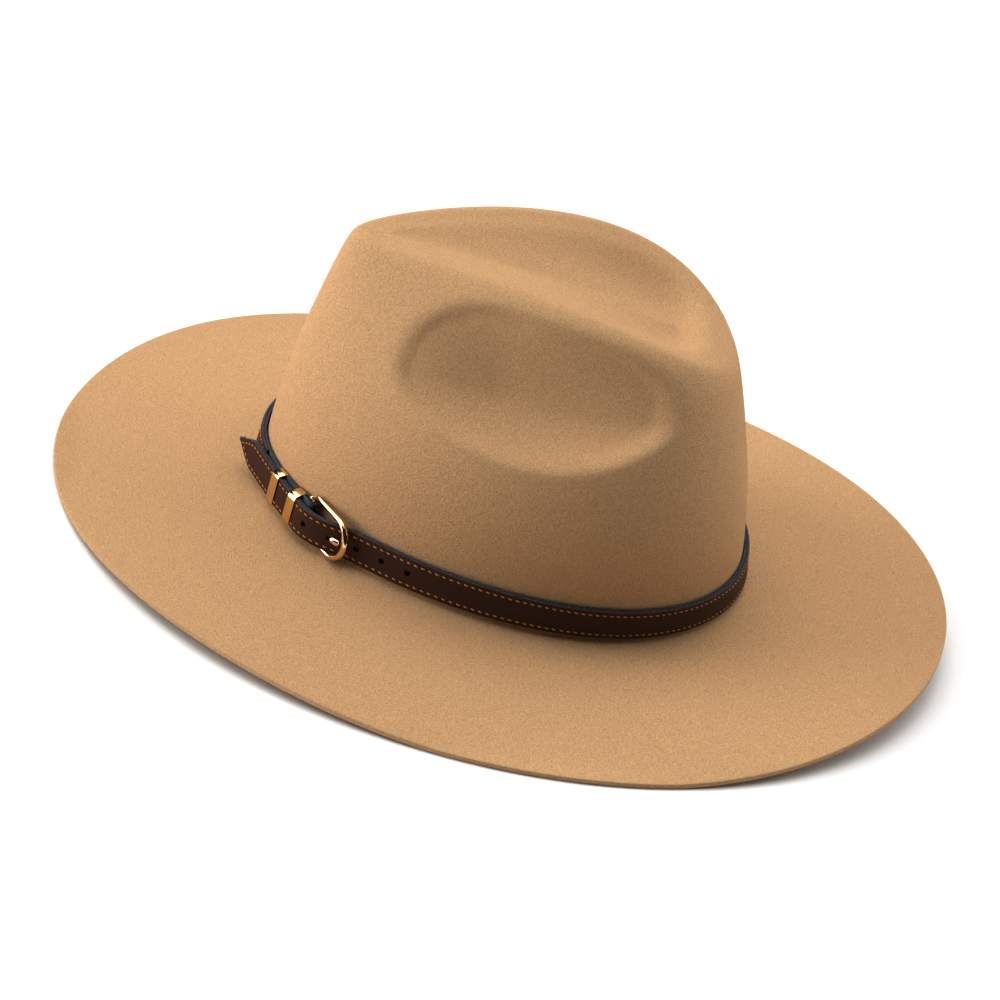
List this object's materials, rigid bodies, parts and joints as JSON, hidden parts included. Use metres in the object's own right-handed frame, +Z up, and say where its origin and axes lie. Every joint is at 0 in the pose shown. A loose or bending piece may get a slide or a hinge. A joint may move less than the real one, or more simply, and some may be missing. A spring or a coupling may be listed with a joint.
{
  "type": "felt fedora hat with a buckled leather strap",
  "caption": "Wide-brimmed felt fedora with a teardrop crease and side pinches, circled by a narrow leather strap with a metal buckle and loops; open inside for the head.",
  "frame": {"origin": "on the surface the hat rests on, under the middle of the brim", "axes": "+Z up out of the surface, -Y toward the front of the hat, +X toward the wearer's left"},
  "size_m": [0.3302, 0.3711, 0.1283],
  "materials": {
    "felt": "camel wool felt with a fine raised nap, raw cut at the brim edge",
    "strap_leather": "smooth dark brown leather, semi-matt, with light stitching along both edges",
    "strap_suede": "blue-grey split leather backing, matt",
    "polished_brass": "polished pale gold plating"
  },
  "bodies": {
    "root": {"felt_body": "felt", "strap_face": "strap_leather", "strap_backing": "strap_suede", "buckle_frame": "polished_brass", "buckle_prong": "polished_brass", "keeper_front": "polished_brass", "keeper_rear": "polished_brass"}
  },
  "joints": []
}
